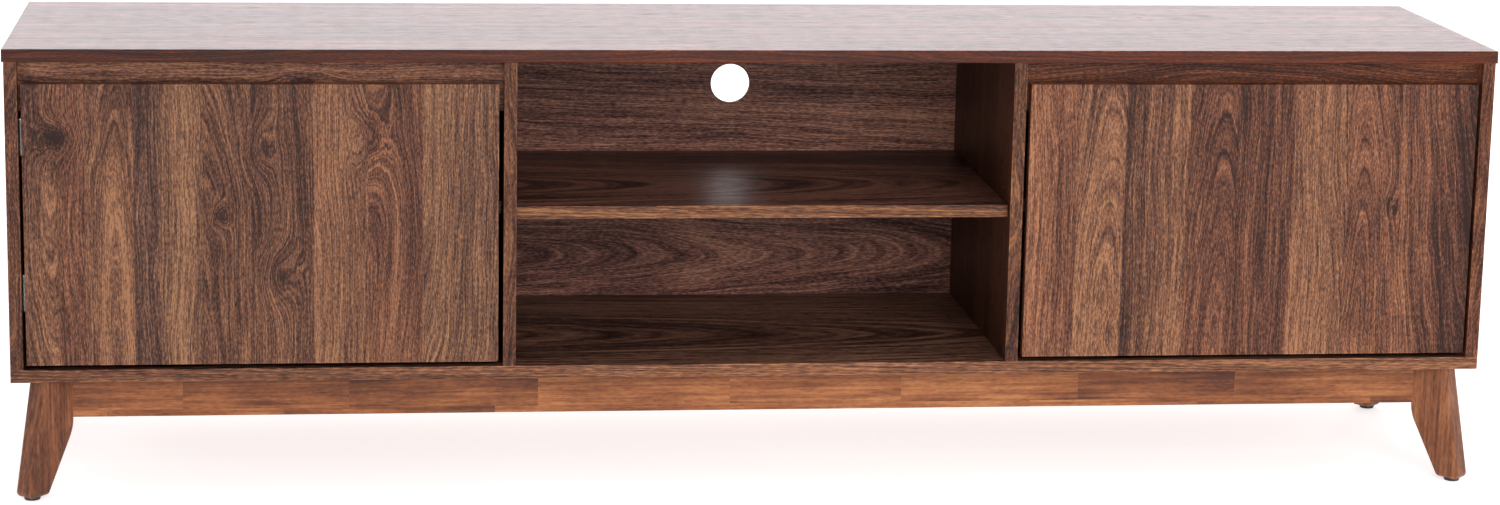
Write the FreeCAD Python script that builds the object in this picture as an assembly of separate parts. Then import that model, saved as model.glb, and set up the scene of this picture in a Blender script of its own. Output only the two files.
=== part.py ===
"""TV stand with two doors and an open centre bay, on a splayed wooden base frame.

FreeCAD script, millimetres. +Z is up, the doors face -Y and the origin is on the
floor at the centre of the footprint. Each node is written as parts/NODE.step.
"""
import math
import os

import FreeCAD
import Part
from FreeCAD import Vector

# ---- overall sizes -----------------------------------------------------------
width = 1778.0              # length of the top panel
carcass_depth = 401.0       # front plane of the carcass to its rear edges
carcass_height = 380.0      # underside of the bottom panel to underside of the top
leg_height = 142.0          # floor to underside of the bottom panel
board = 15.0                # thickness of every carcass board
top_overhang = 2.0          # top panel past the sides and the front
side_bay = 561.0            # clear width of each cupboard
arris = 0.8                 # chamfer along exposed board edges
through = 1.0               # cutters run past the faces they cut by this
tiny = 1e-6                 # two lengths closer than this are the same

# ---- back panels -------------------------------------------------------------
back_thickness = 5.0
back_inset = 10.0           # rear edge of the carcass to the back panel
groove_depth = 5.0
groove_fit = 0.2            # play of a back panel in its grooves
cable_hole_radius = 25.0
cable_hole_drop = 86.0      # underside of the top to the centre of the hole

# ---- doors and top rails -----------------------------------------------------
hinge_gap = 4.0             # side panel to the hinge edge of a door
latch_gap = 6.0             # divider to the free edge of a door
door_floor_gap = 5.5        # bottom panel to the door
finger_gap = 26.0           # top panel to the door, room for fingers
rail_gap = 3.5              # back of the door to the face of the top rail
rail_height = 60.0

# ---- shelves -----------------------------------------------------------------
shelf_level = 191.0         # underside of the bottom panel to underside of a shelf
shelf_play = 1.0            # gap at each end of a shelf
centre_shelf_setback = 12.0
side_shelf_setback = 45.0
shelf_back_gap = 2.0
pin_radius = 2.5
pin_insert = 7.0
pin_reach = 9.0
pin_collar_radius = 4.0
pin_collar = 1.0
pin_pitch = 32.0
pin_rows = 2                # spare holes above and below the one in use
pin_front_setback = 37.0    # shelf front edge to the first pins
pin_back_setback = 60.0     # carcass rear edge to the rear pins
side_pin_shift = 24.0       # rear pins of the cupboards, forward of the centre ones

# ---- concealed hinges --------------------------------------------------------
cup_radius = 17.5
cup_depth = 11.5
cup_edge = 3.0              # hinge edge of the door to the cup bore
cup_wall = 1.0
cup_floor = 0.8
flange_thickness = 1.0
flange_ring = 1.3           # flange past the cup bore
flange_wing_half = 29.0
flange_wing_width = 13.0
cup_screw_spread = 24.0
cup_screw_offset = 9.5
pivot_depth = 8.5           # back of the door to the hinge pin
pivot_edge = 7.2            # hinge edge of the door to the hinge pin
pin_shaft_radius = 1.25
barrel_radius = 2.0
barrel_half = 5.5
hinge_fit = 0.05            # radial play of the pin in the arm
wing_round = 0.4            # corner radius of a hinge wing, as a share of its width
ear_start = 5.8
ear_end = 8.6
ear_reach = 2.8
arm_thickness = 2.0
arm_half = 8.5
arm_wall = 1.5
arm_cup_gap = 0.5           # floor of the cup to the nose of the arm
arm_nose_thickness = 1.8
arm_plate_gap = 1.0         # mounting plate to the side flanges of the arm
arm_flange_setback = 6.0    # bend of the arm to its side flanges
arm_flange_end = 3.0        # side flanges to the rear end of the arm
arm_web_reach = 10.7        # side panel to the outer face of the arm
arm_end = 75.0              # carcass front plane to the rear end of the arm
neck_reach = 12.3           # hinge pin to the outer side of the neck
plate_thickness = 2.0
plate_wing_half = 25.0
plate_width = 14.0
plate_centre = 37.0         # carcass front plane to the screws of the plate
plate_tower_half = 6.0
plate_tower_end = 70.0
plate_screw_spread = 16.0
arm_screw_setbacks = (45.0, 61.0)
top_hinge_drop = 67.0       # door top edge to the upper hinge
bottom_hinge_rise = 80.0    # door bottom edge to the lower hinge

# ---- catches and bumpers -----------------------------------------------------
catch_length = 44.0
catch_height = 13.0
catch_depth = 17.0
catch_ear = 9.0
catch_ear_thickness = 2.0
catch_edge = 22.0           # divider to the catch
catch_ear_inset = 1.0       # faces of the rail to the ears
catch_bar_inset = 5.0       # ends of the housing to the steel bars
catch_bar_height = 2.0
catch_bar_proud = 0.6       # bars in front of the housing
catch_bar_root = 0.4        # bars inside the housing
catch_bar_spread = 3.0      # middle of the catch to the middle of each bar
strike_length = 38.0
strike_height = 12.0
strike_thickness = 1.2
strike_screw_spread = 11.4
catch_gap = 0.2             # magnet to strike plate with the door shut
bumper_radius = 4.0
bumper_gap = 0.3
bumper_drop = 17.0          # door top edge to the bumper
bumper_edge = 14.0          # free edge of the door to the first bumper

# ---- screws: length, shank radius, head radius, head height --------------------
plate_screw = (13.0, 2.9, 4.5, 2.0)
arm_screw = (8.0, 2.0, 4.0, 1.8)
cup_screw = (12.0, 1.8, 3.6, 1.4)
catch_screw = (14.0, 1.6, 3.2, 1.6)
strike_screw = (10.0, 1.3, 2.4, 1.0)
bracket_screw = (14.0, 1.8, 3.6, 1.6)
recess_share = 0.6          # drive recess, of the shank radius and the head height
tip_share = 0.3             # blunt tip, of the shank radius
dome_share = 0.7            # flat crown of a pan head, of its radius
rim_share = 0.4             # rim of a pan head, of its height

# ---- flat-pack fittings ------------------------------------------------------
bore_fit = 0.05             # radial play of a peg or screw in its bore
bore_end = 0.5              # bore past the tip of a peg or screw
cam_radius = 7.5
cam_depth = 12.0
cam_drop = 34.0             # top edge of a panel to the cam centre
cam_slot_radius = 3.6
cam_play = 0.3              # past the cam and past the head of its bolt
cam_drive_half = 4.0        # cross recess in the face of a cam
cam_drive_width = 1.6
cam_drive_depth = 0.6
bolt_radius = 3.0
bolt_head_radius = 3.4
bolt_thread = 11.0
bolt_shank_radius = 2.4
bolt_neck_radius = 1.5
bolt_neck = 3.0             # neck that the cam grips, below the head
bolt_taper = 1.0
dowel_radius = 4.0
dowel_length = 30.0
dowel_shift = 32.0          # dowel beside each cam or screw
joint_front = 62.0          # front plane of the carcass to the first cams and screws
joint_rear = 71.0           # rear edges of the carcass to the last ones
confirmat_length = 48.0
confirmat_neck_radius = 3.4
confirmat_radius = 2.4
confirmat_head_radius = 5.0
confirmat_head = 3.0
confirmat_taper = 2.0
rail_dowel_length = 24.0    # shared by the dividers, so a half goes in each board
rail_dowel_drops = (16.0, 44.0)

# ---- base frame --------------------------------------------------------------
base_inset = 1.0            # carcass side to the feet
base_forward = 16.0         # carcass front plane to the outline of the feet
base_depth = 404.5          # over the outline of the feet
apron_height = 50.0
apron_thickness = 20.0
apron_setback = 48.5        # outline of the feet to the face of an apron
leg_thickness = 28.0
leg_top_out = 40.0          # along the diagonal, outline corner to the leg's top
leg_inner = 85.5            # along the diagonal, outline corner to its inner face
leg_foot_inner = 45.0
leg_knee = 63.0             # top of the leg down to the start of its taper
leg_round = 5.0             # along the edges of a leg
foot_round = 6.0            # heel and toe of a foot
knee_round = 50.0
glide_radius = 10.0
glide_thickness = 3.0
glide_taper = 1.0
foot_lift = 1.5             # inner side of the foot is planed up by this
block_reach = 128.0         # outline of the feet to the tips of a corner block
block_height = 40.0
leg_bolt_radius = 3.0
leg_bolt_bite = 30.0        # bolt inside the leg
leg_bolt_tail = 9.0
leg_bolt_spread = 10.0
nut_radius = 5.5
nut_thickness = 5.0
washer_radius = 8.0
washer_thickness = 1.5
bracket_leg = 25.0
bracket_width = 20.0
bracket_thickness = 2.0
bracket_screw_reach = 15.5  # corner of a bracket to its screws
bracket_stations = (-720.0, -180.0, 180.0, 720.0)

# ---- worked out from the sizes above -----------------------------------------
carcass_width = width - 2 * top_overhang
side_outer = carcass_width / 2
side_inner = side_outer - board
divider_outer = side_inner - side_bay
divider_inner = divider_outer - board
centre_bay = 2 * divider_inner
root_two = math.sqrt(2)
foot_half = leg_thickness / 2
heel_lean = math.atan((leg_top_out - foot_half) / (leg_height - glide_thickness))
sole_lean = math.atan(foot_lift / (leg_foot_inner - foot_half))
heel_half = (math.pi / 2 - heel_lean - sole_lean) / 2   # half the angle of the heel
heel_draw = foot_round * (math.cos(sole_lean + heel_half) / math.sin(heel_half) - 1)
foot_draw = heel_draw / root_two + leg_round * (root_two - 1)
foot_reach = base_forward - foot_draw   # carcass front plane to the rounded feet
total_depth = foot_reach + carcass_depth
front = foot_reach - total_depth / 2
rear = front + carcass_depth
base_front = front - base_forward
floor_level = leg_height            # underside of the bottom panel
bay_floor = floor_level + board
bay_top = floor_level + carcass_height
back_face = rear - back_inset - back_thickness
door_width = side_bay - hinge_gap - latch_gap
door_bottom = bay_floor + door_floor_gap
door_top = bay_top - finger_gap
door_back = front + board
hinge_edge = -side_inner + hinge_gap
pivot_x = hinge_edge + pivot_edge
pivot_y = door_back - pivot_depth
cup_x = hinge_edge + cup_edge + cup_radius
hinge_levels = (door_bottom + bottom_hinge_rise, door_top - top_hinge_drop)
rail_face = door_back + rail_gap
rail_bottom = bay_top - rail_height
shelf_bottom = floor_level + shelf_level
joint_ends = (front + joint_front, rear - joint_rear)
joint_depths = [joint_ends[0], sum(joint_ends) / 2, joint_ends[1]]
base_half = side_outer - base_inset
base_rear = base_front + base_depth
apron_bottom = floor_level - apron_height

X_AXIS = Vector(1, 0, 0)
Y_AXIS = Vector(0, 1, 0)
Z_AXIS = Vector(0, 0, 1)
ORIGIN = Vector(0, 0, 0)

bores = []                  # every drilled hole, cut from each board it meets


# ---- helpers -----------------------------------------------------------------
def box(x_range, y_range, z_range):
    size = [high - low for low, high in (x_range, y_range, z_range)]
    return Part.makeBox(*size, Vector(x_range[0], y_range[0], z_range[0]))


def rod(radius, start, direction, length):
    return Part.makeCylinder(radius, length, start, direction)


def turned(profile, start, direction):
    """Revolve (radius, distance) points about a line from start along direction."""
    points = [Vector(radius, 0, along) for radius, along in profile]
    face = Part.Face(Part.makePolygon(points + points[:1]))
    solid = face.revolve(ORIGIN, Z_AXIS, 360)
    turn = FreeCAD.Rotation(Z_AXIS, direction)
    solid.Placement = FreeCAD.Placement(start, turn)
    return solid


def prism(points, direction):
    """Extrude a closed polygon of Vectors along direction."""
    return Part.Face(Part.makePolygon(points + points[:1])).extrude(direction)


def rounded(corners):
    """Closed wire through (point, radius) corners, each rounded by its radius."""
    bends = []
    for number, (point, radius) in enumerate(corners):
        before = (corners[number - 1][0] - point).normalize()
        after = (corners[(number + 1) % len(corners)][0] - point).normalize()
        half = before.getAngle(after) / 2
        reach = radius / math.tan(half)
        middle = (before + after).normalize() * (radius / math.sin(half) - radius)
        bends.append((point + before * reach, point + middle, point + after * reach))
    edges = []
    for number, (start, middle, end) in enumerate(bends):
        if corners[number][1] > 0:
            edges.append(Part.Arc(start, middle, end).toShape())
        edges.append(Part.makeLine(end, bends[(number + 1) % len(bends)][0]))
    return Part.Wire(edges)


def fused(shapes):
    whole = shapes[0]
    for shape in shapes[1:]:
        whole = whole.fuse(shape)
    return whole.removeSplitter()


def mirrored(shape, axis=X_AXIS):
    return shape.mirror(ORIGIN, axis)


def both_sides(shapes):
    return shapes + [mirrored(shape) for shape in shapes]


def near(first, second):
    return first.BoundBox.intersect(second.BoundBox)


def drilled(shape):
    """Cut every bore that meets the shape."""
    hits = [bore for bore in bores if near(shape, bore)]
    return shape.cut(hits) if hits else shape


def save(name, shapes):
    solids = shapes if isinstance(shapes, list) else [shapes]
    whole = solids[0] if len(solids) == 1 else Part.makeCompound(solids)
    whole.exportStep("parts/%s.step" % name)


def chamfered(shape, keep):
    """Break the straight edges whose both ends satisfy keep."""
    edges = [edge for edge in shape.Edges if all(keep(v.Point) for v in edge.Vertexes)]
    return shape.makeChamfer(arris, edges)


# ---- fasteners ---------------------------------------------------------------
def recess(radius, head):
    """Profile points of the round drive recess in a screw head."""
    wide, deep = radius * recess_share, head * recess_share
    return [(0, deep), (wide, deep), (wide, 0)]


def tip(radius, length):
    """Profile points of a blunt screw tip."""
    return [(radius, length - radius), (radius * tip_share, length), (0, length)]


def screw(start, direction, length, radius, head_radius, head):
    """Countersunk screw whose head is flush at start; returns (solid, bore)."""
    outline = recess(radius, head)
    outline += [(head_radius, 0), (radius, head)] + tip(radius, length)
    wide = radius + bore_fit
    end = length + bore_end
    hole = [(0, 0), (head_radius + bore_fit, 0), (wide, head), (wide, end), (0, end)]
    return turned(outline, start, direction), turned(hole, start, direction)


def dome_screw(start, direction, length, radius, head_radius, head):
    """Pan-head screw whose head stands proud of start; returns (solid, bore)."""
    outline = [(reach, along - head) for reach, along in recess(radius, head)]
    outline += [(head_radius * dome_share, -head), (head_radius, -head * rim_share)]
    outline += [(head_radius, 0)]
    outline += [(radius, 0)] + tip(radius, length)
    bore = rod(radius + bore_fit, start, direction, length + bore_end)
    return turned(outline, start, direction), bore


def register(pairs):
    """Keep the bores of (solid, bore) pairs and return their solids."""
    bores.extend(bore for _, bore in pairs)
    return [solid for solid, _ in pairs]


def peg(start, direction, length):
    """Wooden dowel with chamfered ends; returns (solid, bore)."""
    edge = dowel_radius - arris
    outline = [(0, 0), (edge, 0), (dowel_radius, arris), (dowel_radius, length - arris)]
    outline += [(edge, length), (0, length)]
    bore_start = start - direction * bore_end
    bore = rod(dowel_radius + bore_fit, bore_start, direction, length + 2 * bore_end)
    return turned(outline, start, direction), bore


def upright_centres():
    """Middle of each upright board that stands between the bottom and the top."""
    return [-side_outer + board / 2, -divider_outer + board / 2,
            divider_outer - board / 2, side_outer - board / 2]


def carcass_dowels():
    pairs = []
    for x in upright_centres():
        for y in (joint_ends[0] + dowel_shift, joint_ends[1] - dowel_shift):
            low = Vector(x, y, bay_floor - dowel_length / 3)
            high = Vector(x, y, bay_top - dowel_length * 2 / 3)
            pairs.append(peg(low, Z_AXIS, dowel_length))
            pairs.append(peg(high, Z_AXIS, dowel_length))
    return register(pairs)


def rail_dowels():
    """Dowels that join each top rail to its side panel and divider."""
    pairs = []
    middle = rail_face + board / 2
    for face in (side_inner, divider_outer):
        outward = 1 if face == side_inner else -1
        for drop in rail_dowel_drops:
            inside = face - outward * rail_dowel_length / 2
            for side in (-1, 1):
                start = Vector(side * inside, middle, bay_top - drop)
                direction = X_AXIS * (side * outward)
                pairs.append(peg(start, direction, rail_dowel_length))
    return register(pairs)


def cam_bolts():
    """Steel bolts from the underside of the top panel into the cams."""
    pairs = []
    shank = cam_drop + bolt_head_radius
    outline = [(0, -bolt_thread), (bolt_radius, -bolt_thread), (bolt_radius, 0)]
    neck = cam_drop - bolt_neck
    outline += [(bolt_shank_radius, 0), (bolt_shank_radius, neck - bolt_taper)]
    outline += [(bolt_neck_radius, neck), (bolt_neck_radius, cam_drop)]
    outline += [(bolt_radius, cam_drop + bolt_taper), (bolt_radius, shank), (0, shank)]
    hole_radius = bolt_radius + bore_fit
    for x in upright_centres():
        for y in joint_ends:
            start = Vector(x, y, bay_top)
            lift = start + Z_AXIS * (bolt_thread + bore_end)
            hole = rod(hole_radius, lift, -Z_AXIS, bolt_thread + shank + 2 * bore_end)
            pairs.append((turned(outline, start, -Z_AXIS), hole))
    return register(pairs)


def cam_drive():
    """Cutter for the cross recess in the face of a cam."""
    deep = (-cam_drive_depth, cam_drive_depth)
    narrow = (-cam_drive_width / 2, cam_drive_width / 2)
    long = (-cam_drive_half, cam_drive_half)
    return box(deep, long, narrow).fuse(box(deep, narrow, long))


def cam_locks():
    """Cam discs let into the cupboard face of every upright board."""
    solids = []
    for face in (-side_inner, -divider_outer, divider_outer, side_inner):
        inward = -1 if face in (-side_inner, divider_outer) else 1
        for y in joint_ends:
            start = Vector(face, y, bay_top - cam_drop)
            disc = rod(cam_radius, start, X_AXIS * inward, cam_depth)
            slot = rod(cam_slot_radius, start, Z_AXIS, cam_radius + through)
            slot.translate(X_AXIS * (inward * board / 2))
            mouth = rod(cam_slot_radius, start, -Z_AXIS, bolt_head_radius + cam_play)
            mouth.translate(X_AXIS * (inward * board / 2))
            cross = cam_drive()
            cross.translate(start)
            solids.append(disc.cut([slot, mouth, cross]))
            pocket = rod(cam_radius + bore_fit, start, X_AXIS * inward, cam_depth + cam_play)
            bores.append(pocket)
    return solids


def confirmat(start):
    """Stepped panel screw whose head is flush at start; returns (solid, bore)."""
    neck = board - confirmat_head
    body = [(confirmat_head_radius, 0), (confirmat_neck_radius, confirmat_head)]
    body += [(confirmat_neck_radius, neck), (confirmat_radius, neck + confirmat_taper)]
    outline = recess(confirmat_neck_radius, confirmat_head) + body
    outline += tip(confirmat_radius, confirmat_length)
    end = confirmat_length + bore_end
    hole = [(0, 0)] + [(radius + bore_fit, along) for radius, along in body]
    hole += [(confirmat_radius + bore_fit, end), (0, end)]
    return turned(outline, start, Z_AXIS), turned(hole, start, Z_AXIS)


def carcass_screws():
    """Screws up through the bottom panel into the upright boards."""
    return register([confirmat(Vector(x, y, floor_level))
                     for x in upright_centres() for y in joint_depths])


# ---- boards ------------------------------------------------------------------
def back_groove(x_range, z_range):
    y_range = (back_face - groove_fit / 2, back_face + back_thickness + groove_fit / 2)
    return box(x_range, y_range, z_range)


def bays():
    """Clear X range of the left cupboard, the centre bay and the right cupboard."""
    return [(-side_inner, -divider_outer), (-divider_inner, divider_inner),
            (divider_outer, side_inner)]


def top_panel():
    x = width / 2
    panel = box((-x, x), (front - top_overhang, rear), (bay_top, bay_top + board))
    panel = chamfered(panel, lambda p: p.z > bay_top + arris or p.y < front)
    for low, high in bays():
        reach = (low - groove_depth, high + groove_depth)
        panel = panel.cut(back_groove(reach, (bay_top, bay_top + groove_depth)))
    return drilled(panel)


def bottom_panel():
    x = side_outer
    panel = box((-x, x), (front, rear), (floor_level, bay_floor))
    for low, high in bays():
        reach = (low - groove_depth, high + groove_depth)
        panel = panel.cut(back_groove(reach, (bay_floor - groove_depth, bay_floor)))
    return drilled(panel)


def side_panel():
    """Left side panel; its right twin is the mirror image."""
    panel = box((-side_outer, -side_inner), (front, rear), (bay_floor, bay_top))
    panel = panel.cut(back_groove((-side_inner - groove_depth, -side_inner), (bay_floor, bay_top)))
    return drilled(panel)


def divider():
    """Left divider; its right twin is the mirror image."""
    panel = box((-divider_outer, -divider_inner), (front, rear), (bay_floor, bay_top))
    left = back_groove((-divider_outer, -divider_outer + groove_depth), (bay_floor, bay_top))
    right = back_groove((-divider_inner - groove_depth, -divider_inner), (bay_floor, bay_top))
    return drilled(panel.cut([left, right]))


def back_panel(bay):
    tongue = groove_depth - groove_fit
    x_range = (bay[0] - tongue, bay[1] + tongue)
    z_range = (bay_floor - tongue, bay_top + tongue)
    return box(x_range, (back_face, back_face + back_thickness), z_range)


def centre_back_panel():
    hole_start = Vector(0, back_face - through, bay_top - cable_hole_drop)
    hole = rod(cable_hole_radius, hole_start, Y_AXIS, back_thickness + 2 * through)
    return back_panel(bays()[1]).cut(hole)


def top_rail():
    """Fixed rail over the left door; the door shuts in front of it."""
    x_range = (-side_inner, -divider_outer)
    return drilled(box(x_range, (rail_face, rail_face + board), (rail_bottom, bay_top)))


def shelf(bay, setback):
    x_range = (bay[0] + shelf_play, bay[1] - shelf_play)
    y_range = (front + setback, back_face - shelf_back_gap)
    return box(x_range, y_range, (shelf_bottom, shelf_bottom + board))


def shelf_pins():
    """Four pins under each shelf, with spare holes above and below them."""
    solids = []
    level = shelf_bottom - pin_radius
    rows = [(bays()[1], centre_shelf_setback, 0.0)]
    rows += [(bay, side_shelf_setback, side_pin_shift) for bay in (bays()[0], bays()[2])]
    for bay, setback, shift in rows:
        depths = (front + setback + pin_front_setback, rear - pin_back_setback - shift)
        for face, inward in ((bay[0], 1), (bay[1], -1)):
            for y in depths:
                start = Vector(face, y, level)
                axis = X_AXIS * inward
                shaft = rod(pin_radius, start - axis * pin_insert, axis, pin_insert + pin_reach)
                solids.append(shaft.fuse(rod(pin_collar_radius, start, axis, pin_collar)
                              .common(box((-width, width), (front, rear), (0, shelf_bottom)))))
                for row in range(-pin_rows, pin_rows + 1):
                    mouth = Vector(face, y, level + row * pin_pitch)
                    bores.append(rod(pin_radius + bore_fit, mouth, -axis, pin_insert + bore_end))
    return solids


# ---- doors and hinges --------------------------------------------------------
def door_panel():
    """Left door; its right twin is the mirror image."""
    x_range = (hinge_edge, hinge_edge + door_width)
    panel = box(x_range, (front, door_back), (door_bottom, door_top))
    panel = chamfered(panel, lambda p: p.y < front + arris)
    for z in hinge_levels:
        panel = panel.cut(rod(cup_radius, Vector(cup_x, door_back, z), -Y_AXIS, cup_depth))
    return drilled(panel)


def hinge_cup(z):
    centre = Vector(cup_x, door_back, z)
    inner = cup_radius - cup_wall
    body = rod(cup_radius - bore_fit, centre, -Y_AXIS, cup_depth - bore_fit)
    ring = rod(cup_radius + flange_ring, centre, Y_AXIS, flange_thickness)
    screw_x = cup_x + cup_screw_offset
    wing_x = (screw_x - flange_wing_width / 2, screw_x + flange_wing_width / 2)
    wing_z = (z - flange_wing_half, z + flange_wing_half)
    wings = box(wing_x, (door_back, door_back + flange_thickness), wing_z)
    corners = [edge for edge in wings.Edges if runs_along(edge, Y_AXIS)]
    wings = wings.makeFillet(flange_wing_width * wing_round, corners)
    hollow_start = Vector(cup_x, door_back + flange_thickness, z)
    hollow_depth = cup_depth - cup_floor + flange_thickness
    hollow = rod(inner, hollow_start, -Y_AXIS, hollow_depth)
    shell = fused([body, ring, wings]).cut(hollow)
    room = rod(inner + cup_wall / 2, centre, -Y_AXIS, cup_depth - cup_floor / 2)
    return drilled(fused([shell] + hinge_ears(z, room)))


def runs_along(edge, axis):
    first, last = [vertex.Point for vertex in edge.Vertexes]
    return (last - first).cross(axis).Length < tiny


def hinge_ears(z, room):
    """Two lugs inside the cup that hold the ends of the hinge pin."""
    ears = []
    for low, high in ((ear_start, ear_end), (-ear_end, -ear_start)):
        x_range = (pivot_x - ear_reach - cup_wall, pivot_x + ear_reach)
        y_range = (front, pivot_y + ear_reach)
        ears.append(box(x_range, y_range, (z + low, z + high)).common(room))
    return ears


def hinge_pin(z):
    """Hinge pin held by the ears of one cup; returns (solid, bore)."""
    start = Vector(pivot_x, pivot_y, z - ear_end + arris)
    length = 2 * (ear_end - arris)
    bore = rod(pin_shaft_radius + bore_fit / 2, start, Z_AXIS, length)
    return rod(pin_shaft_radius, start, Z_AXIS, length), bore


def hinge_arm(z):
    """Goose-necked arm that reaches from the side panel into the cup."""
    face = -side_inner
    web = (face + arm_web_reach - arm_wall, face + arm_web_reach)
    bend = rail_face
    neck_x = pivot_x + neck_reach
    floor = door_back - cup_depth + cup_floor + arm_cup_gap
    half = (z - barrel_half, z + barrel_half)
    pieces = [
        box(web, (bend, front + arm_end), (z - arm_half, z + arm_half)),
        box((web[0], neck_x), (bend, bend + arm_thickness), half),
        box((neck_x - arm_thickness, neck_x), (floor, bend + arm_thickness), half),
        box((pivot_x, neck_x), (floor, floor + arm_nose_thickness), half),
        rod(barrel_radius, Vector(pivot_x, pivot_y, half[0]), Z_AXIS, 2 * barrel_half),
    ]
    for low, high in ((-arm_half, -arm_half + arm_wall), (arm_half - arm_wall, arm_half)):
        flange_x = (face + plate_thickness + arm_plate_gap, web[1])
        flange_y = (bend + arm_flange_setback, front + arm_end - arm_flange_end)
        pieces.append(box(flange_x, flange_y, (z + low, z + high)))
    bore_start = Vector(pivot_x, pivot_y, half[0] - through)
    bore = rod(pin_shaft_radius + hinge_fit, bore_start, Z_AXIS, 2 * (barrel_half + through))
    return drilled(fused(pieces).cut(bore))


def hinge_plate(z):
    """Cross-shaped mounting plate screwed to the side panel."""
    face = -side_inner
    centre = front + plate_centre
    wing_y = (centre - plate_width / 2, centre + plate_width / 2)
    wings = box((face, face + plate_thickness), wing_y, (z - plate_wing_half, z + plate_wing_half))
    corners = [edge for edge in wings.Edges if runs_along(edge, X_AXIS)]
    wings = wings.makeFillet(plate_width * wing_round, corners)
    tower_x = (face, face + arm_web_reach - arm_wall)
    tower_y = (wing_y[0], front + plate_tower_end)
    tower = box(tower_x, tower_y, (z - plate_tower_half, z + plate_tower_half))
    return drilled(fused([wings, tower]))


def plate_screws():
    """Euro screws that hold the mounting plates to the left side panel."""
    pairs = []
    for z in hinge_levels:
        for spread in (-plate_screw_spread, plate_screw_spread):
            start = Vector(-side_inner + plate_thickness, front + plate_centre, z + spread)
            pairs.append(dome_screw(start, -X_AXIS, *plate_screw))
    return register(pairs)


def arm_screws():
    """Fixing screws that clamp the arms to the towers of the mounting plates."""
    pairs = []
    for z in hinge_levels:
        for setback in arm_screw_setbacks:
            start = Vector(-side_inner + arm_web_reach, front + setback, z)
            pairs.append(dome_screw(start, -X_AXIS, *arm_screw))
    return register(pairs)


def cup_screws():
    """Short screws that hold the cup flanges to the left door."""
    pairs = []
    for z in hinge_levels:
        for spread in (-cup_screw_spread, cup_screw_spread):
            start = Vector(cup_x + cup_screw_offset, door_back + flange_thickness, z + spread)
            pairs.append(dome_screw(start, -Y_AXIS, *cup_screw))
    return register(pairs)


# ---- catches and bumpers -----------------------------------------------------
def catch_centre():
    """Middle of the left catch: X, and Z under the top rail."""
    return -divider_outer - catch_edge - catch_length / 2, rail_bottom - catch_height / 2


def magnetic_catch():
    x, z = catch_centre()
    face = door_back + strike_thickness + catch_gap
    half = catch_length / 2
    housing_face = face + catch_bar_proud
    body = box((x - half, x + half), (housing_face, face + catch_depth),
               (rail_bottom - catch_height, rail_bottom))
    ears = box((x - half - catch_ear, x + half + catch_ear),
               (rail_face + catch_ear_inset, rail_face + board - catch_ear_inset),
               (rail_bottom - catch_ear_thickness, rail_bottom))
    pieces = [body, ears]
    for middle in (z - catch_bar_spread, z + catch_bar_spread):
        pieces.append(box((x - half + catch_bar_inset, x + half - catch_bar_inset),
                          (face, housing_face + catch_bar_root),
                          (middle - catch_bar_height / 2, middle + catch_bar_height / 2)))
    return drilled(fused(pieces))


def catch_screws():
    x, _ = catch_centre()
    reach = (catch_length + catch_ear) / 2
    level = rail_bottom - catch_ear_thickness
    middle = rail_face + board / 2
    return register([dome_screw(Vector(x + side * reach, middle, level), Z_AXIS, *catch_screw)
                     for side in (-1, 1)])


def strike_plate():
    x, z = catch_centre()
    half = strike_length / 2
    y_range = (door_back, door_back + strike_thickness)
    plate = box((x - half, x + half), y_range, (z - strike_height / 2, z + strike_height / 2))
    return drilled(plate)


def strike_screws():
    x, z = catch_centre()
    start = Vector(x, door_back + strike_thickness, z)
    spread = X_AXIS * strike_screw_spread
    return register([screw(start + offset, -Y_AXIS, *strike_screw)
                     for offset in (-spread, spread)])


def door_bumpers():
    """Soft buttons on the face of the left top rail."""
    free_edge = hinge_edge + door_width
    thickness = rail_gap - bumper_gap
    stations = (free_edge - bumper_edge, free_edge - door_width / 2)
    return [rod(bumper_radius, Vector(x, rail_face, door_top - bumper_drop), -Y_AXIS, thickness)
            for x in stations]


# ---- base frame --------------------------------------------------------------
def corner_point(along_x, along_y, z):
    """Point measured from the front left corner of the outline of the feet."""
    return Vector(-base_half + along_x, base_front + along_y, z)


def diagonal_point(along, across, z):
    """Point along the diagonal of the front left corner, and square to it."""
    return corner_point((along + across) / root_two, (along - across) / root_two, z)


def heel_reach(z):
    """Outer edge of a leg at a height, along the diagonal."""
    share = (z - glide_thickness) / (leg_height - glide_thickness)
    return foot_half + share * (leg_top_out - foot_half)


def leg_slab(corners):
    """Part of a leg from (along, height, radius) corners, with eased outer edges."""
    wire = rounded([(diagonal_point(along, -foot_half, z), radius) for along, z, radius in corners])
    across = diagonal_point(0, leg_thickness, 0) - diagonal_point(0, 0, 0)
    slab = Part.Face(wire).extrude(across)
    return slab.makeFillet(leg_round, [edge for edge in slab.Edges if is_heel(edge)])


def leg():
    """Front left leg: a board set on the diagonal that splays out to the foot."""
    split = apron_bottom
    knee = leg_height - leg_knee
    top = [(leg_top_out, leg_height, 0), (leg_inner, leg_height, 0), (leg_inner, split, 0),
           (heel_reach(split), split, 0)]
    shank = [(heel_reach(split), split, 0), (leg_inner, split, 0), (leg_inner, knee, knee_round),
             (leg_foot_inner, glide_thickness + foot_lift, foot_round),
             (foot_half, glide_thickness, foot_round)]
    return fused([leg_slab(top), leg_slab(shank)])


def is_heel(edge):
    """True for an outer long edge of a leg; the rounding runs on from it round the foot."""
    points = [vertex.Point for vertex in edge.Vertexes]
    outer = all(abs(p.x + base_half) + abs(p.y - base_front) < leg_inner for p in points)
    return outer and abs(points[0].z - points[-1].z) > apron_height / 2


def glide():
    """Plastic glide pressed into the foot of the front left leg."""
    along = (leg_thickness / 2 + leg_foot_inner) / 2
    centre = diagonal_point(along, 0, 0)
    return Part.makeCone(glide_radius - glide_taper, glide_radius, glide_thickness, centre)


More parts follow.
